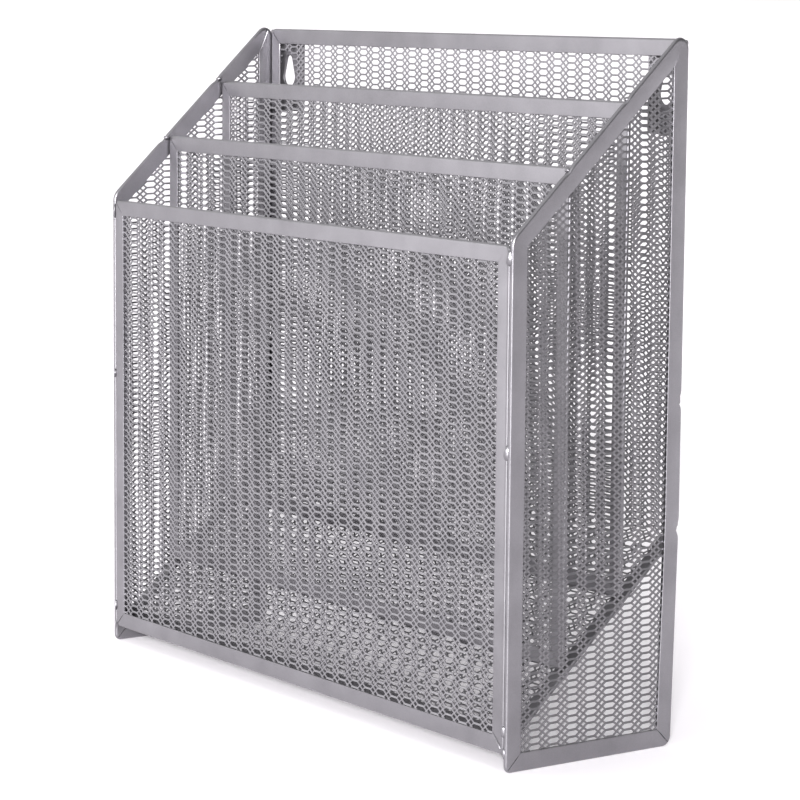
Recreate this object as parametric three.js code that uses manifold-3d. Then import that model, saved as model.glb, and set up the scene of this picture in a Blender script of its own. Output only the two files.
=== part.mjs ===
// Magazine file holder: three upright pockets made of framed expanded-metal panels, welded into one piece.
// Millimetres, +Z up, X across the width, -Y towards the low front.
// The sizes below measure depth from the front edge and height from the foot.
// The finished group is moved so that its origin is the bottom centre of the bounding box.
import * as THREE from "three";
import { mergeVertices } from "three/addons/utils/BufferGeometryUtils.js";
import Module from "manifold-3d";

const wasm = await Module();
wasm.setup();

// ---- Driving dimensions ----
// Whole holder
const WIDTH = 325;
const PART_GAP = 0.3;
const COLOUR = 0xa6a3a8;
const ROUGHNESS = 0.45;
const METALNESS = 0.6;

// Folded channel round the edge of every panel, and the sheet it grips
const CHANNEL_THICKNESS = 2.1;
const CHANNEL_SLOT = 1.1;
const CHANNEL_BACK = 0.6;
const CHANNEL_ROUNDING = 0.8;
const SHEET_THICKNESS = 0.5;
const SHEET_SETBACK = 1.5;
const RAIL_WIDTH = 7.5;
const CORNER_RADIUS = 3;

// Side panels
const SIDE_RAIL_WIDTH = 8;
const SIDE_FRONT_HEIGHT = 225;
const SIDE_REAR_HEIGHT = 313.5;
const SIDE_DEPTH = 93.5;
const SIDE_FOOT_DEPTH = 91;
const SIDE_TAPER_HEIGHT = 102;
const SIDE_FOOT_RADIUS = 3;
const SIDE_HEEL_RADIUS = 4.5;
const SIDE_PEAK_RADIUS = 4.6;
const SIDE_SHOULDER_RADIUS = 8;

// Front panel
const FRONT_BOTTOM = 7.7;
const FRONT_TOP = 222.5;

// Dividers: depth of the front face, and height of the top edge
const DIVIDERS = [
  { name: "divider_1", depth: 31.35, top: 253.7 },
  { name: "divider_2", depth: 62.3, top: 280.5 },
];

// Sloping floor and upright back, one bent panel parted at the knee
const FLOOR_FRONT_DEPTH = 2.4;
const FLOOR_FRONT_HEIGHT = 11.5;
const FLOOR_SLOPE = 0.903;
const BACK_FACE_DEPTH = 92.1;
const BACK_TOP = 306.8;

// Hanging tabs with keyholes, behind the upper corners of the back
const TAB_INNER_X = 134.3;
const TAB_OUTER_X = 155.8;
const TAB_BOTTOM = 265.5;
const TAB_TOP = 305;
const TAB_THICKNESS = 1.2;
const TAB_RADIUS = 2;
const KEYHOLE_X = 146.9;
const KEYHOLE_ENTRY_HEIGHT = 283;
const KEYHOLE_ENTRY_RADIUS = 4.95;
const KEYHOLE_NECK_TOP = 293.6;
const KEYHOLE_NECK_WIDTH = 5;

// Smoothness of rounded edges
const CORNER_STEPS = 6;
const FOLD_STEPS = 2;
const HOLE_STEPS = 12;

// Reach of cutting tools beyond the metal they cut
const TOOL_OVERRUN = 4;
const OPEN_END_OVERRUN = 30;

// ---- Derived dimensions ----
const SIDE_CENTRE_X = WIDTH / 2 - CHANNEL_THICKNESS / 2;
const INNER_HALF_WIDTH = WIDTH / 2 - CHANNEL_THICKNESS - PART_GAP;
const BACK_REAR_DEPTH = BACK_FACE_DEPTH + CHANNEL_THICKNESS;
const TAB_FACE_DEPTH = BACK_REAR_DEPTH + PART_GAP;
const TOTAL_DEPTH = TAB_FACE_DEPTH + TAB_THICKNESS;
const FLOOR_ANGLE = Math.atan(FLOOR_SLOPE);
const FLOOR_DROP = CHANNEL_THICKNESS / Math.cos(FLOOR_ANGLE);

const floorHeight = (depth) => FLOOR_FRONT_HEIGHT + FLOOR_SLOPE * (depth - FLOOR_FRONT_DEPTH);

// ---- Outlines ----
// An outline is a list of corners { u, v, radius } running counter-clockwise.

const corner = (u, v, radius = 0) => ({ u, v, radius });

function rectangle(uMin, uMax, vMin, vMax, radius = 0) {
  return [
    corner(uMin, vMin, radius),
    corner(uMax, vMin, radius),
    corner(uMax, vMax, radius),
    corner(uMin, vMax, radius),
  ];
}

function direction(from, to) {
  return new THREE.Vector2(to.u - from.u, to.v - from.v).normalize();
}

// Moves each edge of an outline inwards by its own distance. Edge i runs from corner i to corner i + 1.
function inset(outline, distances) {
  return outline.map((here, i) => {
    const count = outline.length;
    const before = (i + count - 1) % count;
    const arriving = direction(outline[before], here);
    const leaving = direction(here, outline[(i + 1) % count]);
    const turn = arriving.cross(leaving);
    const arrivingShift = distances[before];
    const leavingShift = distances[i];
    return corner(
      here.u + (arriving.x * leavingShift - leaving.x * arrivingShift) / turn * -1,
      here.v + (arriving.y * leavingShift - leaving.y * arrivingShift) / turn * -1,
      Math.max(0, here.radius - Math.max(arrivingShift, leavingShift)),
    );
  });
}

// Points of an outline with its corners rounded.
function outlinePoints(outline, steps = CORNER_STEPS) {
  const points = [];
  outline.forEach((here, i) => {
    const centre = new THREE.Vector2(here.u, here.v);
    if (here.radius <= 0) {
      points.push(centre);
      return;
    }
    const count = outline.length;
    const arriving = direction(outline[(i + count - 1) % count], here);
    const leaving = direction(here, outline[(i + 1) % count]);
    const turn = Math.atan2(arriving.cross(leaving), arriving.dot(leaving));
    const tangent = here.radius * Math.tan(turn / 2);
    const inward = new THREE.Vector2(-arriving.y, arriving.x);
    centre.addScaledVector(arriving, -tangent).addScaledVector(inward, here.radius);
    const start = Math.atan2(-inward.y, -inward.x);
    for (let step = 0; step <= steps; step += 1) {
      const angle = start + turn * step / steps;
      points.push(new THREE.Vector2(
        centre.x + here.radius * Math.cos(angle),
        centre.y + here.radius * Math.sin(angle),
      ));
    }
  });
  return points;
}

// ---- Solids ----

// Placement of a panel: u and v are the directions its outline is drawn in, origin lies on its mid-plane.
function placement(u, v, origin) {
  const normal = new THREE.Vector3().crossVectors(u, v);
  return new THREE.Matrix4().makeBasis(u, v, normal).setPosition(origin);
}

// Upright plane across the width, with its mid-plane at the given depth.
function acrossPlane(depth) {
  const u = new THREE.Vector3(1, 0, 0);
  const v = new THREE.Vector3(0, 0, 1);
  return placement(u, v, new THREE.Vector3(0, depth, 0));
}

// Upright plane along the depth, with its mid-plane at the given x.
function alongPlane(x) {
  const u = new THREE.Vector3(0, 1, 0);
  const v = new THREE.Vector3(0, 0, 1);
  return placement(u, v, new THREE.Vector3(x, 0, 0));
}

function toSolid(geometry) {
  geometry.deleteAttribute("normal");
  geometry.deleteAttribute("uv");
  const merged = mergeVertices(geometry);
  return new wasm.Manifold(new wasm.Mesh({
    numProp: 3,
    vertProperties: merged.attributes.position.array,
    triVerts: new Uint32Array(merged.index.array),
  }));
}

// Plate of an outline, centred on its mid-plane, with its rim rounded by the given amount.
function plate(outline, thickness, place, rounding = 0, steps = CORNER_STEPS) {
  const shape = new THREE.Shape(outlinePoints(outline, steps));
  const geometry = new THREE.ExtrudeGeometry(shape, {
    depth: thickness - 2 * rounding,
    bevelEnabled: rounding > 0,
    bevelThickness: rounding,
    bevelSize: rounding,
    bevelOffset: -rounding,
    bevelSegments: FOLD_STEPS,
    steps: 1,
  });
  geometry.translate(0, 0, rounding - thickness / 2);
  geometry.applyMatrix4(place);
  return toSolid(geometry);
}

// Region round the rim of a panel between two mitred corners, half a gap short of each mitre.
function mitreZone(outer, inner, first, last) {
  const count = outer.length;
  const shifted = (index, side) => {
    const mitre = direction(inner[index], outer[index]);
    const along = new THREE.Vector2(-mitre.y, mitre.x).multiplyScalar(side * PART_GAP / 2);
    return [outer[index], inner[index]].map((point) => corner(point.u + along.x, point.v + along.y));
  };
  const [outerStart, innerStart] = shifted(first % count, 1);
  const [outerEnd, innerEnd] = shifted(last % count, -1);
  const outerPath = [outerStart];
  const innerPath = [innerStart];
  for (let index = first + 1; index < last; index += 1) {
    outerPath.push(outer[index % count]);
    innerPath.push(inner[index % count]);
  }
  outerPath.push(outerEnd);
  innerPath.push(innerEnd);
  return outerPath.concat(innerPath.reverse());
}

// Panel with folded channel rails and a gripped sheet. Each run names a rail and the corners it spans.
// Edges in openEdges have no rail, so the channel and sheet run on past them.
function framedPanel({ outline, railWidth, place, runs, openEdges = [] }) {
  const edgeDistances = (distance) => outline.map((_, edge) => (
    openEdges.includes(edge) ? -OPEN_END_OVERRUN : distance
  ));
  const sharp = outline.map(({ u, v }) => corner(u, v));
  const window = plate(
    inset(sharp, edgeDistances(railWidth)), CHANNEL_THICKNESS + TOOL_OVERRUN, place);
  const slot = plate(inset(outline, edgeDistances(CHANNEL_BACK)), CHANNEL_SLOT, place);
  const frame = plate(outline, CHANNEL_THICKNESS, place, CHANNEL_ROUNDING)
    .subtract(window)
    .subtract(slot);
  const outerEdge = inset(sharp, edgeDistances(-TOOL_OVERRUN));
  const innerEdge = inset(sharp, edgeDistances(railWidth + TOOL_OVERRUN / 2));
  const rails = runs.map(([name, first, last]) => {
    const zone = mitreZone(outerEdge, innerEdge, first, last);
    return [name, frame.intersect(plate(zone, CHANNEL_THICKNESS + TOOL_OVERRUN, place))];
  });
  const sheet = plate(inset(outline, edgeDistances(SHEET_SETBACK)), SHEET_THICKNESS, place);
  return { rails, sheet };
}

// ---- Assembly ----
const group = new THREE.Group();
group.name = "magazine_file_holder";

function addPart(name, solid) {
  const { vertProperties, triVerts } = solid.getMesh();
  const geometry = new THREE.BufferGeometry();
  geometry.setAttribute("position", new THREE.BufferAttribute(new Float32Array(vertProperties), 3));
  geometry.setIndex(new THREE.BufferAttribute(new Uint32Array(triVerts), 1));
  geometry.translate(0, -TOTAL_DEPTH / 2, 0);
  geometry.computeVertexNormals();
  const material = new THREE.MeshStandardMaterial({
    name: "silver_powder_coat",
    color: COLOUR,
    roughness: ROUGHNESS,
    metalness: METALNESS,
  });
  const mesh = new THREE.Mesh(geometry, material);
  mesh.name = name;
  group.add(mesh);
}

function addPanel(prefix, { rails, sheet }) {
  rails.forEach(([name, solid]) => addPart(`${prefix}_${name}`, solid));
  addPart(`${prefix}_mesh`, sheet);
}

// Side panels, the same outline at both ends. The front and top rails are one channel bent at the shoulder.
const sideOutline = [
  corner(0, 0, SIDE_FOOT_RADIUS),
  corner(SIDE_FOOT_DEPTH, 0, SIDE_HEEL_RADIUS),
  corner(SIDE_DEPTH, SIDE_TAPER_HEIGHT),
  corner(SIDE_DEPTH, SIDE_REAR_HEIGHT, SIDE_PEAK_RADIUS),
  corner(0, SIDE_FRONT_HEIGHT, SIDE_SHOULDER_RADIUS),
];
for (const [side, sign] of [["left", -1], ["right", 1]]) {
  addPanel(side, framedPanel({
    outline: sideOutline,
    railWidth: SIDE_RAIL_WIDTH,
    place: alongPlane(sign * SIDE_CENTRE_X),
    runs: [["bottom_rail", 0, 1], ["rear_rail", 1, 3], ["front_top_rail", 3, 5]],
  }));
}

// Front panel and dividers, full rectangles between the sides
const fullFrameRuns = [
  ["bottom_rail", 0, 1],
  ["right_rail", 1, 2],
  ["top_rail", 2, 3],
  ["left_rail", 3, 4],
];

function addUprightPanel(name, faceDepth, bottom, top) {
  addPanel(name, framedPanel({
    outline: rectangle(-INNER_HALF_WIDTH, INNER_HALF_WIDTH, bottom, top, CORNER_RADIUS),
    railWidth: RAIL_WIDTH,
    place: acrossPlane(faceDepth + CHANNEL_THICKNESS / 2),
    runs: fullFrameRuns,
  }));
}

addUprightPanel("front", 0, FRONT_BOTTOM, FRONT_TOP);
for (const { name, depth, top } of DIVIDERS) {
  const bottom = floorHeight(depth + CHANNEL_THICKNESS) + PART_GAP;
  addUprightPanel(name, depth, bottom, top);
}

// Back and floor, each cut off at the plane that halves the knee
const kneeInner = new THREE.Vector2(BACK_FACE_DEPTH, floorHeight(BACK_FACE_DEPTH));
const kneeOuter = new THREE.Vector2(BACK_REAR_DEPTH, floorHeight(BACK_REAR_DEPTH) - FLOOR_DROP);
const kneeLine = kneeOuter.clone().sub(kneeInner).normalize();
const kneeNormal = new THREE.Vector2(-kneeLine.y, kneeLine.x);

// Everything on one side of the knee plane: side is 1 for the back, -1 for the floor.
function besideKnee(side) {
  const reach = BACK_TOP;
  const start = kneeInner.clone().addScaledVector(kneeNormal, side * PART_GAP / 2);
  const near = start.clone().addScaledVector(kneeLine, -reach);
  const far = start.clone().addScaledVector(kneeLine, reach);
  const farUp = far.clone().addScaledVector(kneeNormal, side * reach);
  const nearUp = near.clone().addScaledVector(kneeNormal, side * reach);
  const ring = side > 0 ? [near, far, farUp, nearUp] : [far, near, nearUp, farUp];
  return plate(ring.map((point) => corner(point.x, point.y)), WIDTH, alongPlane(0));
}

function cutAtKnee({ rails, sheet }, side) {
  const keep = besideKnee(side);
  return {
    rails: rails.map(([name, solid]) => [name, solid.intersect(keep)]),
    sheet: sheet.intersect(keep),
  };
}

// Keyhole through the back sheet and the tab behind it
function keyhole(x) {
  const neckHalf = KEYHOLE_NECK_WIDTH / 2;
  const place = acrossPlane(TAB_FACE_DEPTH);
  const length = 2 * TOOL_OVERRUN;
  const entry = rectangle(
    x - KEYHOLE_ENTRY_RADIUS,
    x + KEYHOLE_ENTRY_RADIUS,
    KEYHOLE_ENTRY_HEIGHT - KEYHOLE_ENTRY_RADIUS,
    KEYHOLE_ENTRY_HEIGHT + KEYHOLE_ENTRY_RADIUS,
    KEYHOLE_ENTRY_RADIUS,
  );
  const neck = [
    corner(x - neckHalf, KEYHOLE_ENTRY_HEIGHT),
    corner(x + neckHalf, KEYHOLE_ENTRY_HEIGHT),
    corner(x + neckHalf, KEYHOLE_NECK_TOP, neckHalf),
    corner(x - neckHalf, KEYHOLE_NECK_TOP, neckHalf),
  ];
  return plate(entry, length, place, 0, HOLE_STEPS).add(plate(neck, length, place, 0, HOLE_STEPS));
}

const back = cutAtKnee(framedPanel({
  outline: rectangle(
    -INNER_HALF_WIDTH, INNER_HALF_WIDTH, kneeOuter.y - OPEN_END_OVERRUN, BACK_TOP, CORNER_RADIUS),
  railWidth: RAIL_WIDTH,
  place: acrossPlane(BACK_FACE_DEPTH + CHANNEL_THICKNESS / 2),
  runs: [["right_rail", 1, 2], ["top_rail", 2, 3], ["left_rail", 3, 4]],
  openEdges: [0],
}), 1);

const keyholes = [["left", -1], ["right", 1]].map(([side, sign]) => (
  { side, sign, hole: keyhole(sign * KEYHOLE_X) }
));
for (const { hole } of keyholes) {
  back.sheet = back.sheet.subtract(hole);
}
addPanel("back", back);

const floorDirection = new THREE.Vector3(0, Math.cos(FLOOR_ANGLE), Math.sin(FLOOR_ANGLE));
const floorPlace = placement(
  new THREE.Vector3(1, 0, 0),
  floorDirection,
  new THREE.Vector3(0, FLOOR_FRONT_DEPTH, FLOOR_FRONT_HEIGHT),
);
floorPlace.multiply(new THREE.Matrix4().makeTranslation(0, 0, -CHANNEL_THICKNESS / 2));
const floorLength = (BACK_REAR_DEPTH - FLOOR_FRONT_DEPTH) / Math.cos(FLOOR_ANGLE);
addPanel("floor", cutAtKnee(framedPanel({
  outline: rectangle(
    -INNER_HALF_WIDTH, INNER_HALF_WIDTH, 0, floorLength + OPEN_END_OVERRUN, CORNER_RADIUS),
  railWidth: RAIL_WIDTH,
  place: floorPlace,
  runs: [["front_rail", 0, 1], ["right_rail", 1, 2], ["left_rail", 3, 4]],
  openEdges: [2],
}), -1));

// Hanging tabs
for (const { side, sign, hole } of keyholes) {
  const uMin = Math.min(sign * TAB_INNER_X, sign * TAB_OUTER_X);
  const uMax = Math.max(sign * TAB_INNER_X, sign * TAB_OUTER_X);
  const tab = plate(
    rectangle(uMin, uMax, TAB_BOTTOM, TAB_TOP, TAB_RADIUS),
    TAB_THICKNESS,
    acrossPlane(TAB_FACE_DEPTH + TAB_THICKNESS / 2),
  );
  addPart(`${side}_hanging_tab`, tab.subtract(hole));
}

export default group;
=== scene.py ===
"""Magazine file holder: silver powder-coated expanded metal in folded steel rails, welded together."""
import math

import bmesh
import bpy
import numpy as np
from mathutils import Matrix, Vector, noise


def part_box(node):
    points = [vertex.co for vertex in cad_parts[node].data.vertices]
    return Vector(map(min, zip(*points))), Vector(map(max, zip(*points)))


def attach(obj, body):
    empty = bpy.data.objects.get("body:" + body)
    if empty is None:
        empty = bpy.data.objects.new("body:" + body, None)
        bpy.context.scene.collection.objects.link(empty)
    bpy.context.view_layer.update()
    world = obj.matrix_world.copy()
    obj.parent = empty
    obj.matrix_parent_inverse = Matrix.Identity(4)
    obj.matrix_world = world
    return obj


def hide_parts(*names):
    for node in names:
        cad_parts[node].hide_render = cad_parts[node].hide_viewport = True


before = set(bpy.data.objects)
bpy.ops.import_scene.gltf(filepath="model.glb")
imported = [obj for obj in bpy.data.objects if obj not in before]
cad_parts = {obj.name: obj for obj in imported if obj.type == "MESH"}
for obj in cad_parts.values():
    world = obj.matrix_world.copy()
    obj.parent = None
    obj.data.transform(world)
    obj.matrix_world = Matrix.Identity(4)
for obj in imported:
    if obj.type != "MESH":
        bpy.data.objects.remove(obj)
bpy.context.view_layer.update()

MM = 0.001

# Folded rail section, in millimetres
RAIL_T = 2.1
NOSE = RAIL_T / 2
FLANGE_T = 0.5
PINCH = 0.16            # how far each flange leans in at the channel's mouth
FLANGE_SOFT = 0.13      # bevel on a flange's edge
SEAM = 0.08             # half the gap at a mitre
SEAM_STEP = 0.35        # length over which a rail's end is squeezed in
SHARP = math.radians(32)    # a rail's creases past this angle aren't smoothed

# Expanded-metal lattice, in millimetres
COLUMN = 10.15
ROW = 3.08
FLAT_HALF = 2.15
STRAND = 0.76
SHEET_T = 0.40
LOUVRE = 0.12
SHEET_MARGIN = 1.6      # how far inside a panel's outline its sheet stops


# ---------------------------------------------------------------- materials

def new_material(name):
    mat = bpy.data.materials.new(name)
    mat.use_nodes = True
    nt = mat.node_tree
    return mat, nt, nt.nodes["Principled BSDF"]


def add(nt, kind, **values):
    node = nt.nodes.new(kind)
    for key, value in values.items():
        setattr(node, key, value)
    return node


def powder_coat(name, dark, light, rough, metal, flake_bump, peel_bump):
    """Silver powder coat: a slight mottle in colour, fine metal flake and a soft orange peel."""
    mat, nt, p = new_material(name)
    link = nt.links.new
    coord = add(nt, "ShaderNodeTexCoord")

    def grain(scale, detail):
        tex = add(nt, "ShaderNodeTexNoise")
        tex.inputs["Scale"].default_value = scale
        tex.inputs["Detail"].default_value = detail
        link(coord.outputs["Object"], tex.inputs["Vector"])
        return tex

    mottle = grain(60, 3)
    flake = grain(1900, 2)
    peel = grain(420, 2)

    both = add(nt, "ShaderNodeMath", operation="MULTIPLY_ADD")
    link(flake.outputs["Fac"], both.inputs[0])
    both.inputs[1].default_value = 0.55
    link(mottle.outputs["Fac"], both.inputs[2])
    ramp = add(nt, "ShaderNodeValToRGB")
    ramp.color_ramp.elements[0].position = 0.48
    ramp.color_ramp.elements[0].color = (*dark, 1)
    ramp.color_ramp.elements[1].position = 1.05
    ramp.color_ramp.elements[1].color = (*light, 1)
    link(both.outputs[0], ramp.inputs["Fac"])
    link(ramp.outputs["Color"], p.inputs["Base Color"])

    rough_map = add(nt, "ShaderNodeMapRange")
    rough_map.inputs["To Min"].default_value = rough - 0.05
    rough_map.inputs["To Max"].default_value = rough + 0.05
    link(flake.outputs["Fac"], rough_map.inputs["Value"])
    link(rough_map.outputs[0], p.inputs["Roughness"])
    p.inputs["Metallic"].default_value = metal

    def bump(tex, strength, distance):
        node = add(nt, "ShaderNodeBump")
        node.inputs["Strength"].default_value = strength
        node.inputs["Distance"].default_value = distance
        link(tex.outputs["Fac"], node.inputs["Height"])
        return node

    fine = bump(flake, flake_bump, 0.06 * MM)
    soft = bump(peel, peel_bump, 0.18 * MM)
    link(fine.outputs["Normal"], soft.inputs["Normal"])
    link(soft.outputs["Normal"], p.inputs["Normal"])
    return mat


# name, dark and light tone, roughness, metallic, flake bump, peel bump
COAT = powder_coat("silver_powder_coat", (0.223, 0.216, 0.231), (0.279, 0.271, 0.289),
                   0.36, 0.95, 0.3, 0.2)
# the mesh coat is darker than the rails' coat of the same paint: painted shade for the shade among the
# layers of mesh
MESH_PAINTED_SHADE_COAT = powder_coat("silver_mesh_coat_painted_shade", (0.19, 0.185, 0.2), (0.245, 0.237, 0.253),
                        0.42, 0.78, 0.2, 0.15)
# the side sheets' coat is darker still: painted shade, as the sides face away from the light in front
SIDE_MESH_PAINTED_SHADE_COAT = powder_coat("silver_side_mesh_coat_painted_shade", (0.16, 0.155, 0.167), (0.205, 0.198, 0.212),
                             0.42, 0.78, 0.2, 0.15)
# the back sheet's coat is lighter than the same paint elsewhere: painted light on the back mesh
BACK_MESH_PAINTED_LIGHT_COAT = powder_coat("silver_back_mesh_coat_painted_light", (0.24, 0.233, 0.25), (0.29, 0.281, 0.3),
                             0.46, 0.7, 0.2, 0.15)
# the tabs' coat is darker: painted shade where the back mesh shadows the tabs
TAB_PAINTED_SHADE_COAT = powder_coat("silver_tab_coat_painted_shade", (0.13, 0.126, 0.136), (0.165, 0.16, 0.171),
                       0.45, 0.8, 0.2, 0.2)
# the crease coat is darker and duller than the rails' coat: painted shade in the creases, which also
# keeps a highlight off them
CREASE_PAINTED_SHADE_COAT = powder_coat("silver_crease_coat_painted_shade", (0.11, 0.106, 0.114), (0.15, 0.145, 0.155),
                          0.7, 0.1, 0.2, 0.2)


# ---------------------------------------------------------------- meshes

def make_object(name, verts, faces, mat, smooth=False):
    """A new piece from vertices in metres and faces, riding on the one body."""
    mesh = bpy.data.meshes.new(name)
    mesh.from_pydata([tuple(v) for v in verts], [], faces)
    return finish_object(name, mesh, mat, smooth)


def finish_object(name, mesh, mat, smooth):
    """The piece of a finished mesh, with its material and body."""
    mesh.validate()
    mesh.materials.append(mat)
    mesh.polygons.foreach_set("use_smooth", [smooth] * len(mesh.polygons))
    obj = bpy.data.objects.new(name, mesh)
    bpy.context.scene.collection.objects.link(obj)
    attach(obj, "root")
    return obj


class Plane:
    """A panel's mid-plane: maps (u, v, w) in millimetres to metres in the row frame."""

    def __init__(self, origin, u, v):
        self.origin = np.array(origin, float)
        self.u = np.array(u, float)
        self.v = np.array(v, float)
        self.w = np.cross(self.u, self.v)

    def place(self, pts):
        pts = np.asarray(pts, float)
        out = self.origin + pts[:, 0:1] * self.u + pts[:, 1:2] * self.v + pts[:, 2:3] * self.w
        return out * MM


# ---------------------------------------------------------------- folded rails

def rail_section(width, front_trim, rear_trim):
    """Closed loop of (inward distance, w) round a folded channel, nose at distance 0.

    The trims are how much shorter the flange on each side of the sheet is.
    """
    front, rear = width - front_trim, width - rear_trim
    half = RAIL_T / 2
    inner = half - FLANGE_T
    mouth = half - PINCH
    grip = mouth - FLANGE_T
    soft = FLANGE_SOFT
    loop = [(front, grip), (front, mouth - soft), (front - soft, mouth)]
    loop += [(front * 0.7, half - 0.03), (NOSE + 0.2, half)]
    for step in range(9):
        angle = math.pi / 2 * (1 - step / 4)
        loop.append((NOSE * (1 - math.cos(angle)), NOSE * math.sin(angle)))
    loop += [(NOSE + 0.2, -half), (rear * 0.7, -half + 0.03)]
    loop += [(rear - soft, -mouth), (rear, -mouth + soft), (rear, -grip)]
    loop += [(NOSE * 1.1, -inner), (NOSE * 0.6, -inner * 0.6)]
    loop += [(NOSE * 0.6, inner * 0.6), (NOSE * 1.1, inner)]
    return loop


def unit(v):
    return v / np.linalg.norm(v)


class Outline:
    """A closed outline of corners (u, v, radius), counter-clockwise, with its rail's inner outline."""

    def __init__(self, corners, width):
        self.pts = [np.array(c[:2], float) for c in corners]
        self.radii = [c[2] for c in corners]
        self.width = width
        n = len(corners)
        self.dirs = [unit(self.pts[(i + 1) % n] - self.pts[i]) for i in range(n)]
        self.n = n
        self.inner = [self.shifted(i, width) for i in range(n)]

    def shifted(self, i, distance):
        """Corner i of the outline moved inwards by distance."""
        a, b = self.dirs[i - 1], self.dirs[i]
        na, nb = np.array([-a[1], a[0]]), np.array([-b[1], b[0]])
        return self.pts[i] + (na + nb) * distance / (1 + a @ b)

    def region(self, margin):
        """The outline's area less a margin, with its rounded corners, as a list of (u, v)."""
        out = []
        for i in range(self.n):
            if self.radii[i] <= margin:
                out.append(self.shifted(i, margin))
                continue
            for outer, _ in self.arc(i, 0.0, 1.0, 4):
                centre = self.centre(i)
                out.append(centre + unit(outer - centre) * (self.radii[i] - margin))
        return out

    def centre(self, i):
        a = self.dirs[i - 1]
        tangent = self.radii[i] * math.tan(self.turn(i) / 2)
        return self.pts[i] - a * tangent + np.array([-a[1], a[0]]) * self.radii[i]

    def turn(self, i):
        a, b = self.dirs[i - 1], self.dirs[i]
        return math.atan2(a[0] * b[1] - a[1] * b[0], a @ b)

    def arc(self, i, share0, share1, steps):
        """(outer, inner) pairs round corner i, from share0 to share1 of its turn."""
        a = self.dirs[i - 1]
        radius, turn = self.radii[i], self.turn(i)
        centre = self.centre(i)
        start = math.atan2(-a[0], a[1])
        pairs = []
        for k in range(steps + 1):
            share = share0 + (share1 - share0) * k / steps
            angle = start + turn * share
            outer = centre + radius * np.array([math.cos(angle), math.sin(angle)])
            pairs.append((outer, self.inner[i]))
        return pairs

    def run(self, first, last, pitch=7.0, arc_steps=5):
        """(outer, inner) pairs of one rail, from the mitre at corner first to that at corner last."""
        pairs = self.arc(first % self.n, 0.5, 1.0, arc_steps)
        for i in range(first, last):
            edge = i % self.n
            nxt = (i + 1) % self.n
            d = self.dirs[edge]
            t0 = self.radii[edge] * math.tan(self.turn(edge) / 2)
            t1 = self.radii[nxt] * math.tan(self.turn(nxt) / 2)
            o0, o1 = self.pts[edge] + d * t0, self.pts[nxt] - d * t1
            i0, i1 = self.inner[edge], self.inner[nxt]
            count = max(1, int(np.linalg.norm(o1 - o0) / pitch))
            for k in range(1, count):
                share = k / count
                pairs.append((o0 + (o1 - o0) * share, i0 + (i1 - i0) * share))
            half = 0.5 if i + 1 == last else 1.0
            pairs += self.arc(nxt, 0.0, half, arc_steps)
        return pairs


def wobble(p, seed, size=0.011, amount=1.0):
    """Smooth noise in millimetres at a point in millimetres."""
    return noise.noise(Vector((p[0] * size + seed, p[1] * size - seed, seed * 1.7))) * amount


def nudge(pair, towards, distance):
    """The (outer, inner) pair a short way from one station along the rail to the next."""
    outer, inner = pair
    across = unit(inner - outer)
    side = np.array([-across[1], across[0]])
    step = (towards[0] + towards[1]) / 2 - (outer + inner) / 2
    if step @ side < 0:
        side = -side
    if np.linalg.norm(towards[0] - outer) < 2.0:
        return outer + (towards[0] - outer) * 0.4, inner + side * distance * 0.6
    return outer + side * distance, inner + side * distance


def with_dent_stations(pairs, dents):
    """Extra stations every millimetre or so where a dent is near."""
    out = [pairs[0]]
    for (o0, i0), (o1, i1) in zip(pairs, pairs[1:]):
        length = np.linalg.norm(o1 - o0)
        middle = (o0 + o1) / 2
        near = any(np.linalg.norm(middle - np.array(d[:2])) < length / 2 + 2.5 * d[2] for d in dents)
        count = max(1, int(length / 0.9)) if near else 1
        for k in range(1, count + 1):
            share = k / count
            out.append((o0 + (o1 - o0) * share, i0 + (i1 - i0) * share))
    return out


def rail(name, plane, outline, first, last, seed, dents=(), replaces=(), flush=(False, False),
         trims=(0.0, 1.3)):
    """One folded rail between two mitres. dents: (u, v, radius, depth) pressed into the nose.

    flush says which ends are painted over, so that no seam shows there. trims shorten the flanges.
    """
    pairs = outline.run(first, last)
    pairs.insert(1, nudge(pairs[0], pairs[1], SEAM_STEP))
    pairs.insert(-1, nudge(pairs[-1], pairs[-2], SEAM_STEP))
    pairs = with_dent_stations(pairs, dents)
    section = rail_section(outline.width, *trims)
    n = len(section)
    verts = []
    for k, (outer, inner) in enumerate(pairs):
        across = inner - outer
        length = np.linalg.norm(across)
        at_end = (k == 0 and not flush[0]) or (k == len(pairs) - 1 and not flush[1])
        if at_end:
            other = pairs[1][0] if k == 0 else pairs[-2][0]
            mid = pairs[2][1] if k == 0 else pairs[-3][1]
            towards = unit((other + mid) / 2 - (outer + inner) / 2)
            side = np.array([-across[1], across[0]]) / length
            along = side * SEAM * (1 if side @ towards > 0 else -1)
        else:
            along = np.zeros(2)
        push = 0.0
        for du, dv, radius, depth in dents:
            gap = math.hypot(outer[0] - du, outer[1] - dv)
            push = max(push, depth * math.exp(-(gap / radius) ** 2))
        lift = wobble(outer, seed, 0.006, 0.12)
        edge = wobble(outer, seed + 7, 0.02, 0.12)
        squeeze = 0.78 if at_end else 1.0
        for d, w in section:
            w *= squeeze
            share = d / outline.width
            reach = share * length + edge * share ** 2 * (length / outline.width)
            reach += push * max(0.0, 1 - d / 3.0)
            point = outer + across / length * reach + along
            verts.append((point[0], point[1], w + lift * share))
    faces = []
    for k in range(len(pairs) - 1):
        for j in range(n):
            a, b = k * n + j, k * n + (j + 1) % n
            faces.append((a, b, b + n, a + n))
    faces.append(tuple(reversed(range(n))))
    faces.append(tuple(range((len(pairs) - 1) * n, len(pairs) * n)))
    obj = make_object(name, plane.place(verts), faces, COAT, smooth=True)
    mesh = obj.data
    bm = bmesh.new()
    bm.from_mesh(mesh)
    bmesh.ops.recalc_face_normals(bm, faces=bm.faces)
    bm.to_mesh(mesh)
    bm.free()
    mesh.set_sharp_from_angle(angle=SHARP)
    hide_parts(*replaces)
    return obj


# ---------------------------------------------------------------- expanded-metal lattice

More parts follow.
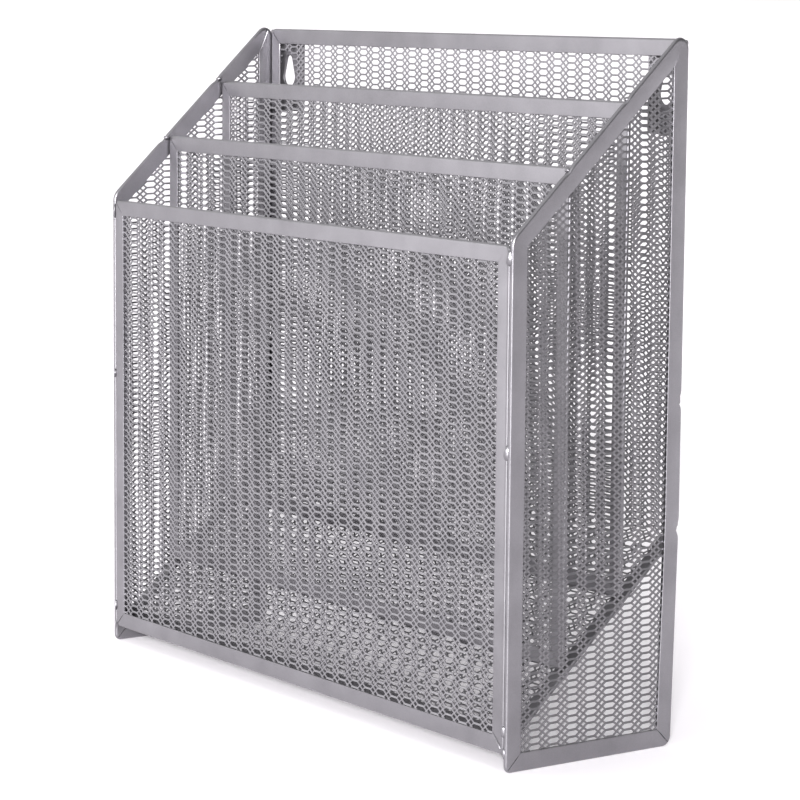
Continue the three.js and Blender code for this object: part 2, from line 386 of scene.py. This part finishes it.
def lattice_cells():
    """Corners of the three holes of one cell: a long hexagon and two diamonds.

    Neighbouring holes share their edges here. Strand width is taken off each hole afterwards.
    """
    a, s, p = FLAT_HALF, (COLUMN - 2 * FLAT_HALF) / 3, ROW
    hexagon = [(-(a + s), 0), (-a, -p / 2), (a, -p / 2), (a + s, 0), (a, p / 2), (-a, p / 2)]
    diamond_1 = [(a, p / 2), (a + s, 0), (a + 2 * s, p / 2), (a + s, p)]
    diamond_2 = [(a + s, p), (a + 2 * s, p / 2), (a + 3 * s, p), (a + 2 * s, 3 * p / 2)]
    return [hexagon, diamond_1, diamond_2]


def inset_ring(ring, distance):
    pts = [np.array(q, float) for q in ring]
    n = len(pts)
    out = []
    for i in range(n):
        a = unit(pts[i] - pts[i - 1])
        b = unit(pts[(i + 1) % n] - pts[i])
        na, nb = np.array([-a[1], a[0]]), np.array([-b[1], b[0]])
        out.append(pts[i] + (na + nb) * distance / (1 + a @ b))
    return np.array(out)


def lattice_patch(u0, u1, v0, v1, phase_u, phase_v, tilt, strand, thick, skew):
    """Vertices (u, v, w) of a lattice over a rectangle, with its quads, triangles and hole walls.

    Rows are staggered by half a pitch in every other column. Also returned is the number of front
    vertices, after which the rear ones come in the same order.
    """
    p, L = ROW, COLUMN
    rings = [inset_ring(r, strand / 2) for r in lattice_cells()]
    sizes = [len(ring) for ring in rings]
    starts = [sum(sizes[:hole]) for hole in range(3)]
    per_cell = sum(sizes)
    flat = np.concatenate(rings)
    # tilt 1: corners on a hole's upper side lean forward, so that every strand looks upward
    lean = []
    for ring in rings:
        mid = ring[:, 1].mean()
        reach = np.abs(ring[:, 1] - mid).max()
        lean.append((ring[:, 1] - mid) / reach * LOUVRE * tilt)
    lean = np.concatenate(lean)

    slack_u = abs(skew) * max(abs(v0), abs(v1))
    slack_v = abs(skew) * max(abs(u0), abs(u1))
    col0 = math.floor((u0 - slack_u - phase_u) / L) - 1
    row0 = math.floor((v0 - slack_v - phase_v) / p) - 2
    ncol = math.ceil((u1 + slack_u - phase_u) / L) + 1 - col0
    nrow = math.ceil((v1 + slack_v - phase_v) / p) + 2 - row0
    C, R = np.meshgrid(np.arange(ncol), np.arange(nrow), indexing="ij")
    stagger = ((C + col0) % 2) * (p / 2)
    base_u = (C + col0) * L + phase_u
    base_v = (R + row0) * p + phase_v + stagger
    grid_u = base_u[..., None] + flat[:, 0]
    grid_v = base_v[..., None] + flat[:, 1]
    grid_w = np.broadcast_to(lean, grid_u.shape)
    grid_u, grid_v = grid_u - skew * grid_v, grid_v + skew * grid_u
    half = thick / 2
    front = np.stack([grid_u, grid_v, grid_w + half], -1).reshape(-1, 3)
    rear = np.stack([grid_u, grid_v, grid_w - half], -1).reshape(-1, 3)
    count = len(front)

    def index(c, r, hole, k):
        """Front vertex number, or -1 off the grid."""
        ok = (c >= 0) & (c < ncol) & (r >= 0) & (r < nrow)
        value = (c * nrow + r) * per_cell + starts[hole] + k % sizes[hole]
        return np.where(ok, value, -1)

    odd = (C + col0) % 2
    quads, tris = [], []

    def quad(*corners):
        quads.append(np.stack([index(*q) for q in corners], -1).reshape(-1, 4))

    def tri(*corners):
        tris.append(np.stack([index(*q) for q in corners], -1).reshape(-1, 3))

    # the flat strand above hexagon (C, R), shared with hexagon (C, R + 1)
    quad((C, R, 0, 5), (C, R, 0, 4), (C, R + 1, 0, 2), (C, R + 1, 0, 1))
    # hexagon to first diamond: up-right edges of the hexagon are the diamond's lower-left edges
    quad((C, R, 0, 4), (C, R, 0, 3), (C, R, 1, 1), (C, R, 1, 0))
    quad((C, R + 1, 0, 3), (C, R + 1, 0, 2), (C, R, 1, 0), (C, R, 1, 3))
    # first diamond to second diamond
    quad((C, R, 1, 3), (C, R, 1, 2), (C, R, 2, 1), (C, R, 2, 0))
    quad((C, R, 1, 2), (C, R, 1, 1), (C, R - 1, 2, 0), (C, R - 1, 2, 3))
    # second diamond to the next column's hexagons
    nxt_low = np.where(odd == 0, R, R + 1)
    nxt_high = nxt_low + 1
    quad((C, R, 2, 2), (C, R, 2, 1), (C + 1, nxt_low, 0, 0), (C + 1, nxt_low, 0, 5))
    quad((C, R, 2, 3), (C, R, 2, 2), (C + 1, nxt_high, 0, 1), (C + 1, nxt_high, 0, 0))
    # junctions
    tri((C, R, 0, 4), (C, R, 1, 0), (C, R + 1, 0, 2))
    quad((C, R, 0, 3), (C, R - 1, 1, 3), (C, R - 1, 2, 0), (C, R, 1, 1))
    quad((C, R, 1, 2), (C, R - 1, 2, 3), (C + 1, nxt_low, 0, 0), (C, R, 2, 1))
    tri((C, R, 2, 2), (C + 1, nxt_low, 0, 5), (C + 1, nxt_high, 0, 1))
    quads, tris = np.concatenate(quads), np.concatenate(tris)
    quads = quads[(quads >= 0).all(1)]
    tris = tris[(tris >= 0).all(1)]
    # walls round each hole
    walls = []
    for hole in range(3):
        for k in range(sizes[hole]):
            i, j = index(C, R, hole, k), index(C, R, hole, k + 1)
            walls.append(np.stack([i, j, j + count, i + count], -1).reshape(-1, 4))
    return np.concatenate([front, rear]), quads, tris, np.concatenate(walls), count


# a sheet's coat by default is the darkened mesh coat, with painted shade
def lattice(name, plane, region, phase=(0.0, 0.0), seed=0.0, replaces=(), wave=0.25, tilt=1.0,
            strand=STRAND, thick=SHEET_T, mat=MESH_PAINTED_SHADE_COAT, skew=0.0):
    """Expanded-metal sheet inside a convex region of (u, v) corners.

    skew is how far its columns lean back for each millimetre of height.
    """
    region = [np.array(q, float) for q in region]
    us, vs = [q[0] for q in region], [q[1] for q in region]
    verts, quads, tris, walls, count = lattice_patch(min(us), max(us), min(vs), max(vs), *phase,
                                                     tilt, strand, thick, skew)
    edges = []
    for a, b in zip(region, region[1:] + region[:1]):
        d = unit(b - a)
        edges.append((a, np.array([-d[1], d[0]])))
    inside = np.ones(len(verts), bool)
    for a, normal in edges:
        inside &= (verts[:, :2] - a) @ normal > -1e-6
    # points outside are drawn back to the region's edge, and faces wholly outside go
    for a, normal in edges * 2:
        off = (verts[:, :2] - a) @ normal
        low = off < 0
        verts[low, :2] -= off[low, None] * normal

    def keep(f):
        return f[inside[f].any(1)]

    quads = np.concatenate([keep(quads), keep(np.flip(quads, 1) + count), keep(walls)])
    tris = np.concatenate([keep(tris), keep(np.flip(tris, 1) + count)])
    # gentle waviness of the sheet
    x, y = verts[:, 0], verts[:, 1]
    verts[:, 2] += wave * np.sin(x * 0.021 + seed) * np.sin(y * 0.027 + seed * 2.3)
    used = np.unique(np.concatenate([quads.ravel(), tris.ravel()]))
    remap = np.full(len(verts), -1)
    remap[used] = np.arange(len(used))
    quads, tris = remap[quads], remap[tris]
    pts = plane.place(verts[used])
    mesh = bpy.data.meshes.new(name)
    mesh.vertices.add(len(pts))
    mesh.vertices.foreach_set("co", pts.astype(np.float32).ravel())
    loops = np.concatenate([quads.ravel(), tris.ravel()]).astype(np.int32)
    totals = np.concatenate([np.full(len(quads), 4), np.full(len(tris), 3)]).astype(np.int32)
    begins = np.concatenate([[0], np.cumsum(totals)[:-1]]).astype(np.int32)
    mesh.loops.add(len(loops))
    mesh.loops.foreach_set("vertex_index", loops)
    mesh.polygons.add(len(totals))
    mesh.polygons.foreach_set("loop_start", begins)
    mesh.polygons.foreach_set("loop_total", totals)
    mesh.update(calc_edges=True)
    obj = finish_object(name, mesh, mat, False)
    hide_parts(*replaces)
    return obj


# ---------------------------------------------------------------- the holder

def mm_box(node):
    low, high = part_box(node)
    return [c / MM for c in low], [c / MM for c in high]


side_low, side_high = mm_box("right_front_top_rail")
FRONT_Y = side_low[1]
SIDE_X = (side_low[0] + side_high[0]) / 2

# side outline: depth from the front edge, height and corner radius, as designed
SIDE = [(0, 0, 3), (91, 0, 4.5), (93.5, 102, 0), (93.5, 313.5, 4.6), (0, 225, 8)]
SIDE_W = 8.0
# spot welds pressed into the side rails' noses: depth, height, radius, how deep
SPOTS = [(93.5, 152, 2.3, 1.7), (93.3, 96, 2.3, 1.6), (59.5, 281.3, 2.0, 0.7), (28.5, 252, 2.0, 0.7)]
# how much shorter each flange is, outer then inner
EVEN = (0.0, 0.0)
SHORT_INSIDE = (0.0, 0.7)
# front, divider, back and floor panels
PANEL_W = 7.5
PANEL_R = 3
SQUARE = 0.01           # corner radius where a rail runs on past the knee
PAST_KNEE = 12          # how far it runs on before it is cut
LAP = 0.4               # how far the back and floor sheets reach past the knee
# the sloping floor: rise for each millimetre of depth, and where its upper face starts
FLOOR_SLOPE = 0.903
FLOOR_START = 2.4
FLOOR_HEIGHT = 11.5
# keyholes: distance from the middle, then height and radius of the round end and of the neck
KEYHOLE_X = 146.9
ROUND_Z, ROUND_R = 283.0, 4.95
NECK_Z, NECK_R = 291.1, 2.5
# the back sheet's cut-outs are larger and a little to one side
CUT_SPREAD = 2.3
CUT_SHIFT = 0.5

for label, sign in (("left", -1), ("right", 1)):
    plane = Plane((sign * SIDE_X, FRONT_Y, 0), (0, 1, 0), (0, 0, 1))
    outline = Outline(SIDE, SIDE_W)
    smooth_peak = sign > 0
    rail(f"{label}_side_bottom_rail", plane, outline, 0, 1, 3 + sign,
         replaces=[f"{label}_bottom_rail"], trims=EVEN)
    rail(f"{label}_side_rear_rail", plane, outline, 1, 3, 9 + sign, SPOTS,
         [f"{label}_rear_rail"], (False, smooth_peak), EVEN)
    rail(f"{label}_side_front_top_rail", plane, outline, 3, 5, 15 + sign, SPOTS,
         [f"{label}_front_top_rail"], (smooth_peak, False), SHORT_INSIDE)
    # the side sheets wear the darker coat: painted shade
    lattice(f"{label}_side_lattice", plane, outline.region(SHEET_MARGIN), (6.4, 0.9), seed=1.0 + sign,
            replaces=[f"{label}_mesh"], strand=0.86, mat=SIDE_MESH_PAINTED_SHADE_COAT, skew=0.024)


def upright(prefix, out_name, seed, phase, painted_over=()):
    """A standing panel of four rails and a sheet. painted_over: corners whose seams don't show."""
    low, high = mm_box(f"{prefix}_bottom_rail")
    top_z = mm_box(f"{prefix}_top_rail")[1][2]
    y = (low[1] + high[1]) / 2
    x = mm_box(f"{prefix}_right_rail")[1][0]
    plane = Plane((0, y, 0), (1, 0, 0), (0, 0, 1))
    corners = [(-x, low[2], PANEL_R), (x, low[2], PANEL_R), (x, top_z, PANEL_R), (-x, top_z, PANEL_R)]
    outline = Outline(corners, PANEL_W)
    for k, side in enumerate(("bottom", "right", "top", "left")):
        painted = (k in painted_over, (k + 1) % 4 in painted_over)
        rail(f"{out_name}_{side}_channel", plane, outline, k, k + 1, seed + k * 3,
             replaces=[f"{prefix}_{side}_rail"], flush=painted)
    lattice(f"{out_name}_lattice", plane, outline.region(SHEET_MARGIN), phase, seed=seed,
            replaces=[f"{prefix}_mesh"], strand=0.8)


upright("front", "front_panel", 21.0, (-0.8, 0.4), painted_over=(1, 2))
upright("divider_1", "divider_one", 35.0, (4.4, 1.5))
upright("divider_2", "divider_two", 49.0, (7.7, 2.2))

# back, with keyholes, and the sloping floor: they meet at a knee
X = mm_box("back_right_rail")[1][0]
top_low, top_high = mm_box("back_top_rail")
back_top = top_high[2]
back_y = (top_low[1] + top_high[1]) / 2
back_inner_y, back_outer_y = back_y - RAIL_T / 2, back_y + RAIL_T / 2
back_foot = mm_box("back_left_rail")[0][2] - PAST_KNEE
back_plane = Plane((0, back_y, 0), (1, 0, 0), (0, 0, 1))
back = Outline([(-X, back_foot, SQUARE), (X, back_foot, SQUARE),
                (X, back_top, PANEL_R), (-X, back_top, PANEL_R)], PANEL_W)
floor_front_y = FRONT_Y + FLOOR_START
floor_angle = math.atan(FLOOR_SLOPE)


def floor_top(y):
    """Height of the sloping floor's upper face at Y = y, in millimetres."""
    return FLOOR_HEIGHT + FLOOR_SLOPE * (y - floor_front_y)


knee_inner = Vector((0, back_inner_y * MM, floor_top(back_inner_y) * MM))
knee_outer = Vector((0, back_outer_y * MM,
                     (floor_top(back_outer_y) - RAIL_T / math.cos(floor_angle)) * MM))
knee_line = (knee_outer - knee_inner).normalized()
knee_up = Vector((0, -knee_line.z, knee_line.y))


def clip(obj, point, normal):
    """Cuts away what lies on the side of a plane that its normal points to, and caps it."""
    bm = bmesh.new()
    bm.from_mesh(obj.data)
    geom = bm.verts[:] + bm.edges[:] + bm.faces[:]
    cut = bmesh.ops.bisect_plane(bm, geom=geom, plane_co=point, plane_no=normal, clear_outer=True)
    edges = [e for e in cut["geom_cut"] if isinstance(e, bmesh.types.BMEdge)]
    bmesh.ops.contextual_create(bm, geom=edges)
    bm.to_mesh(obj.data)
    bm.free()


for side, first, last in (("right", 1, 2), ("top", 2, 3), ("left", 3, 4)):
    obj = rail(f"back_panel_{side}_channel", back_plane, back, first, last, 60 + first * 3,
               replaces=[f"back_{side}_rail"])
    if side != "top":
        clip(obj, knee_inner, -knee_up)


def keyhole(cx):
    """Pear-shaped keyhole outline, (u, v) in millimetres, counter-clockwise and convex."""
    lean = math.asin((ROUND_R - NECK_R) / (NECK_Z - ROUND_Z))
    pts = []
    for k in range(9):
        turn = lean + (math.pi - 2 * lean) * k / 8
        pts.append((cx + NECK_R * math.cos(turn), NECK_Z + NECK_R * math.sin(turn)))
    for k in range(16):
        turn = math.pi - lean + (math.pi + 2 * lean) * k / 16
        pts.append((cx + ROUND_R * math.cos(turn), ROUND_Z + ROUND_R * math.sin(turn)))
    return pts


def punch(obj, y, outline):
    """Cuts a convex hole through a sheet that stands in the plane Y = y."""
    centre = np.mean(outline, axis=0)
    reach = max(math.dist(q, centre) for q in outline) + 4
    sides = list(zip(outline, outline[1:] + outline[:1]))
    bm = bmesh.new()
    bm.from_mesh(obj.data)

    def near_faces():
        found = []
        for face in bm.faces:
            c = face.calc_center_median() / MM
            if math.hypot(c.x - centre[0], c.z - centre[1]) < reach:
                found.append(face)
        return found

    def inside(face):
        c = face.calc_center_median() / MM
        return all((b[0] - a[0]) * (c.z - a[1]) - (b[1] - a[1]) * (c.x - a[0]) >= -1e-4 for a, b in sides)

    for a, b in sides:
        faces = near_faces()
        edges = list(dict.fromkeys(e for f in faces for e in f.edges))
        verts = list(dict.fromkeys(v for f in faces for v in f.verts))
        normal = Vector((b[1] - a[1], 0, -(b[0] - a[0])))
        bmesh.ops.bisect_plane(bm, geom=verts + edges + faces,
                               plane_co=Vector((a[0] * MM, y * MM, a[1] * MM)), plane_no=normal)
    bmesh.ops.delete(bm, geom=[f for f in near_faces() if inside(f)], context="FACES")
    bm.to_mesh(obj.data)
    bm.free()


def sheet_region(low, high):
    """The corners of a sheet from low to high, between the two side rails."""
    edge = X - SHEET_MARGIN
    return [(-edge, low), (edge, low), (edge, high), (-edge, high)]


# the back sheet wears the lighter coat: painted light
back_sheet = lattice("back_panel_lattice", back_plane,
                     sheet_region(knee_inner.z / MM - LAP, back_top - SHEET_MARGIN), (2.0, 0.7),
                     seed=5.0, replaces=["back_mesh"], tilt=-0.6, strand=0.84, thick=0.24,
                     mat=BACK_MESH_PAINTED_LIGHT_COAT)
for cx in (-KEYHOLE_X, KEYHOLE_X):
    cut_out = inset_ring(keyhole(cx + CUT_SHIFT), -CUT_SPREAD)
    punch(back_sheet, back_y, [tuple(q) for q in cut_out])

floor_across = math.sin(floor_angle) * RAIL_T / 2
floor_down = math.cos(floor_angle) * RAIL_T / 2
floor_plane = Plane((0, floor_front_y + floor_across, FLOOR_HEIGHT - floor_down),
                    (1, 0, 0), (0, math.cos(floor_angle), math.sin(floor_angle)))
floor_len = (back_inner_y - floor_front_y) / math.cos(floor_angle)
floor_end = floor_len + PAST_KNEE
floor_outline = Outline([(-X, 0, PANEL_R), (X, 0, PANEL_R),
                         (X, floor_end, SQUARE), (-X, floor_end, SQUARE)], PANEL_W)
for side, first, last in (("front", 0, 1), ("right", 1, 2), ("left", 3, 4)):
    obj = rail(f"floor_panel_{side}_channel", floor_plane, floor_outline, first, last, 80 + first * 3,
               replaces=[f"floor_{side}_rail"])
    if side != "front":
        clip(obj, knee_inner, knee_up)
lattice("floor_panel_lattice", floor_plane, sheet_region(SHEET_MARGIN, floor_len + LAP), (5.0, 0.3),
        seed=8.0, replaces=["floor_mesh"])


# ---------------------------------------------------------------- welds and tabs

def bead(name, centre, size, seed, turn=0.0):
    """A small irregular weld bead, in millimetres from the middle of the front edge on the floor.

    turn is the angle of its first axis from +X about the vertical, in degrees.
    """
    c, s = math.cos(math.radians(turn)), math.sin(math.radians(turn))
    rings, steps = 9, 14
    x, y, z = centre
    verts = []
    for i in range(1, rings):
        lat = math.pi * i / rings
        for j in range(steps):
            lon = 2 * math.pi * j / steps
            n = Vector((math.sin(lat) * math.cos(lon), math.sin(lat) * math.sin(lon), math.cos(lat)))
            grow = 1 + 0.28 * noise.noise(n * 1.7 + Vector((seed, seed * 2, 0)))
            dx, dy, dz = (n[k] * size[k] * grow for k in range(3))
            verts.append((x + dx * c - dy * s, y + dx * s + dy * c, z + dz))
    top, bottom = len(verts), len(verts) + 1
    verts += [(x, y, z + size[2]), (x, y, z - size[2])]
    faces = []
    for i in range(rings - 2):
        for j in range(steps):
            a, b = i * steps + j, i * steps + (j + 1) % steps
            faces.append((a, a + steps, b + steps, b))
    last = (rings - 2) * steps
    for j in range(steps):
        faces.append((top, j, (j + 1) % steps))
        faces.append((bottom, last + (j + 1) % steps, last + j))
    verts = [(vx * MM, (vy + FRONT_Y) * MM, vz * MM) for vx, vy, vz in verts]
    return make_object(name, verts, faces, COAT, smooth=True)


def fillet(name, start, end, radius, seed, pitch=3.0, mat=COAT, lumps=0.16):
    """A thin run of weld and paint along the crevice between two panels, placed as a bead is.

    lumps is how much its radius varies.
    """
    a, b = Vector(start), Vector(end)
    d = (b - a).normalized()
    side = d.orthogonal().normalized()
    other = d.cross(side)
    count = max(2, int((b - a).length / pitch))
    ring = 10
    verts = []
    for i in range(count + 1):
        p = a + (b - a) * (i / count)
        r = radius * (1 + lumps * noise.noise(Vector((seed, i * 0.37, 0))))
        if i in (0, count):
            r *= 0.5
        p = p + side * 0.05 * noise.noise(Vector((seed + 9, i * 0.3, 0)))
        for j in range(ring):
            turn = 2 * math.pi * j / ring
            q = p + side * math.cos(turn) * r + other * math.sin(turn) * r
            verts.append((q.x * MM, (q.y + FRONT_Y) * MM, q.z * MM))
    faces = []
    for i in range(count):
        for j in range(ring):
            k, m = i * ring + j, i * ring + (j + 1) % ring
            faces.append((k, m, m + ring, k + ring))
    faces.append(tuple(reversed(range(ring))))
    faces.append(tuple(range(count * ring, (count + 1) * ring)))
    return make_object(name, verts, faces, mat, smooth=True)


# where panels cross at each side: name, (distance from the middle, depth, height), half sizes
INNER_TACKS = (
    ("divider_one_tack", (160.5, 30.2, 252.6), (1.5, 1.6, 1.0)),
    ("divider_two_tack", (160.5, 61.2, 281.6), (1.5, 1.6, 1.0)),
    ("divider_one_low_tack", (160.4, 31.3, 47.0), (0.8, 0.9, 1.6)),
    ("divider_two_low_tack", (160.4, 62.3, 76.0), (0.8, 0.9, 1.6)),
    ("back_top_tack", (160.5, 93.4, 305.0), (0.85, 0.9, 1.3)),
    ("back_mid_tack", (160.4, 93.4, 152.0), (0.7, 0.7, 2.0)),
    ("back_low_tack", (160.4, 93.3, 98.0), (0.7, 0.7, 1.8)),
)
CREVICE_X = 160.25

for label, sign in (("left", -1), ("right", 1)):
    x = sign * CREVICE_X
    # the back fillets wear the darker crease coat: painted shade in the crease
    fillet(f"{label}_back_fillet", (x, 93.3, 95.0), (x, 93.3, 304.0), 0.45, 5 + sign, mat=CREASE_PAINTED_SHADE_COAT)
    fillet(f"{label}_front_fillet", (x, 1.25, 9.0), (x, 1.25, 217.5), 0.36, 3 + sign)
    # the tacks on the left hardly show past the rail
    proud = 1.0 if sign > 0 else 0.72
    slant = 54 if sign > 0 else 126
    front_tacks = (
        ("front_top_tack", (160.8, 0.5, 217.0), (2.1 * proud, 1.1 * proud, 3.4)),
        ("front_mid_tack", (160.7, 0.5, 136.0), (1.9 * proud, proud, 3.2 * proud)),
        ("front_low_tack", (160.6, 0.35, 18.0), (1.6 * proud, 0.9 * proud, 2.5)),
        ("front_foot_tack", (161.0, 0.45, 8.4), (1.2 * proud, 0.8 * proud, 2.4)),
    )
    for k, (name, (out, depth, height), size) in enumerate(front_tacks + INNER_TACKS):
        turn = slant if k < len(front_tacks) else 0.0
        bead(f"{label}_{name}", (sign * out, depth, height), size, 1.0 + k + sign, turn)


TAB_R = 2.0             # a tab's corner radius
TAB_SOFT = 0.22         # bevel round its edges
SPOT_DEPTH = 95.58      # depth of its spot welds


def tab(label, sign):
    """A hanging tab: a small rounded plate with a keyhole, its edges softened."""
    cx = sign * KEYHOLE_X
    (x0, y0, z0), (x1, y1, z1) = mm_box(f"{label}_hanging_tab")
    r, soft = TAB_R, TAB_SOFT
    corners = ((x1 - r, z1 - r, 0), (x0 + r, z1 - r, 90), (x0 + r, z0 + r, 180), (x1 - r, z0 + r, 270))
    outer = []
    for mx, mz, start in corners:
        for k in range(6):
            turn = math.radians(start + 18 * k)
            outer.append((mx + r * math.cos(turn), mz + r * math.sin(turn)))
    bm = bmesh.new()
    levels = []
    for ring, push in ((outer, soft), (keyhole(cx), -soft)):
        drawn = inset_ring(ring, push)
        loops = []
        for pts, y in ((drawn, y0), (ring, y0 + soft), (ring, y1 - soft), (drawn, y1)):
            loops.append([bm.verts.new((q[0] * MM, y * MM, q[1] * MM)) for q in pts])
        for lower, upper in zip(loops, loops[1:]):
            n = len(lower)
            for k in range(n):
                bm.faces.new((lower[k], lower[(k + 1) % n], upper[(k + 1) % n], upper[k]))
        levels.append((loops[0], loops[-1]))
    for side in (0, 1):
        edges = []
        for pair in levels:
            loop = pair[side]
            for k in range(len(loop)):
                edges.append(bm.edges.get((loop[k], loop[(k + 1) % len(loop)])))
        bmesh.ops.triangle_fill(bm, edges=edges, use_beauty=True)
    bmesh.ops.recalc_face_normals(bm, faces=bm.faces)
    name = f"{label}_keyhole_tab"
    mesh = bpy.data.meshes.new(name)
    bm.to_mesh(mesh)
    bm.free()
    # the tab wears the darker coat: painted shade from the mesh in front of it
    obj = finish_object(name, mesh, TAB_PAINTED_SHADE_COAT, False)
    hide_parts(f"{label}_hanging_tab")
    for k, (dx, height) in enumerate(((-6.5, 268.3), (6.5, 268.3), (-6.5, 302.0), (6.5, 302.0))):
        bead(f"{label}_tab_spot_{k + 1}", (cx + dx, SPOT_DEPTH, height), (1.3, 0.18, 1.3), 20 + k + sign)


fillet("front_lower_corner_weld", (153.2, 0.08, 16.0), (159.0, 0.08, 9.8), 0.62, 31.0, 0.8, lumps=0.8)

tab("left", -1)
tab("right", 1)


# ---------------------------------------------------------------- floor, light, camera

def stage_floor():
    """A white paper floor that reaches the horizon."""
    mesh = bpy.data.meshes.new("studio_floor")
    size = 400.0
    corners = [(-size, -size, 0), (size, -size, 0), (size, size, 0), (-size, size, 0)]
    mesh.from_pydata(corners, [], [(0, 1, 2, 3)])
    mat, _, p = new_material("studio_paper")
    p.inputs["Base Color"].default_value = (0.985, 0.955, 0.99, 1)
    p.inputs["Roughness"].default_value = 0.9
    p.inputs["Specular IOR Level"].default_value = 0.1
    mesh.materials.append(mat)
    obj = bpy.data.objects.new("studio_floor", mesh)
    bpy.context.scene.collection.objects.link(obj)


def studio_world():
    """A white room: bright towards the horizon, dimmer overhead and behind to the right."""
    world = bpy.data.worlds.new("studio")
    bpy.context.scene.world = world
    world.use_nodes = True
    nt = world.node_tree
    link = nt.links.new
    coord = add(nt, "ShaderNodeTexCoord")
    both = add(nt, "ShaderNodeMath", operation="MULTIPLY")

    def fade(slot, direction, start, end, dimmest):
        """Brightness falls from 1 to dimmest as the view of the room turns towards direction."""
        towards = add(nt, "ShaderNodeVectorMath", operation="DOT_PRODUCT")
        link(coord.outputs["Generated"], towards.inputs[0])
        towards.inputs[1].default_value = direction
        step = add(nt, "ShaderNodeMapRange", interpolation_type="SMOOTHSTEP")
        step.inputs["From Min"].default_value = start
        step.inputs["From Max"].default_value = end
        step.inputs["To Min"].default_value = 1.0
        step.inputs["To Max"].default_value = dimmest
        link(towards.outputs["Value"], step.inputs["Value"])
        link(step.outputs[0], both.inputs[slot])

    fade(0, (0.0, 0.0, 1.0), 0.12, 0.6, 0.95)
    fade(1, (0.83, 0.55, 0.0), -0.1, 1.0, 0.03)
    link(both.outputs[0], nt.nodes["Background"].inputs["Strength"])
    nt.nodes["Background"].inputs["Color"].default_value = (1, 1, 1, 1)


def softbox(name, place, target, size, power):
    """A rectangular light at place, facing target, in metres and watts."""
    data = bpy.data.lights.new(name, "AREA")
    data.shape = "RECTANGLE"
    data.size, data.size_y = size
    data.energy = power
    obj = bpy.data.objects.new(name, data)
    obj.location = place
    obj.rotation_euler = (Vector(target) - Vector(place)).to_track_quat("-Z", "Y").to_euler()
    obj.visible_camera = False
    bpy.context.scene.collection.objects.link(obj)


def soft_sun(name, come_from, power, spread):
    """Distant light from a direction; spread is its angular size in radians."""
    data = bpy.data.lights.new(name, "SUN")
    data.energy = power
    data.angle = spread
    obj = bpy.data.objects.new(name, data)
    obj.rotation_euler = (-Vector(come_from)).to_track_quat("-Z", "Y").to_euler()
    bpy.context.scene.collection.objects.link(obj)


# the camera fitted to the photo: place in metres, focal length in pixels of the photo
CAM_POS = (1.15647, -0.81592, 0.32348)
YAW, PITCH, ROLL = math.radians(54.39), math.radians(-7.50), math.radians(0.50)
FOCAL_PX = 3063.5
PHOTO_PX = 800
SENSOR = 36


def photo_camera():
    """The camera at CAM_POS, turned by YAW, PITCH and ROLL, without shift or depth of field."""
    data = bpy.data.cameras.new("photo_camera")
    data.sensor_width = SENSOR
    data.lens = FOCAL_PX / PHOTO_PX * SENSOR
    data.clip_start = 0.05
    data.clip_end = 3000
    cam = bpy.data.objects.new("photo_camera", data)
    ahead = Vector((-math.sin(YAW) * math.cos(PITCH), math.cos(YAW) * math.cos(PITCH), math.sin(PITCH)))
    level = Vector((math.cos(YAW), math.sin(YAW), 0))
    upright_axis = level.cross(ahead)
    right = level * math.cos(ROLL) + upright_axis * math.sin(ROLL)
    upward = -level * math.sin(ROLL) + upright_axis * math.cos(ROLL)
    turn = Matrix((right, upward, -ahead)).transposed()
    cam.matrix_world = Matrix.Translation(CAM_POS) @ turn.to_4x4()
    bpy.context.scene.collection.objects.link(cam)
    bpy.context.scene.camera = cam


stage_floor()
studio_world()
soft_sun("key", (0.76, -0.64, 0.26), 6.2, 0.2)
soft_sun("front_left", (-0.60, -0.72, 0.34), 0.25, 0.5)
softbox("front_left_box", (-0.42, -0.60, 0.22), (0.14, -0.04, 0.12), (0.34, 0.62), 1.02)
softbox("right_rear_box", (0.42, 0.38, 0.20), (0.16, 0.06, 0.16), (0.12, 0.4), 0.2)
photo_camera()
bpy.context.scene.view_settings.view_transform = "Standard"
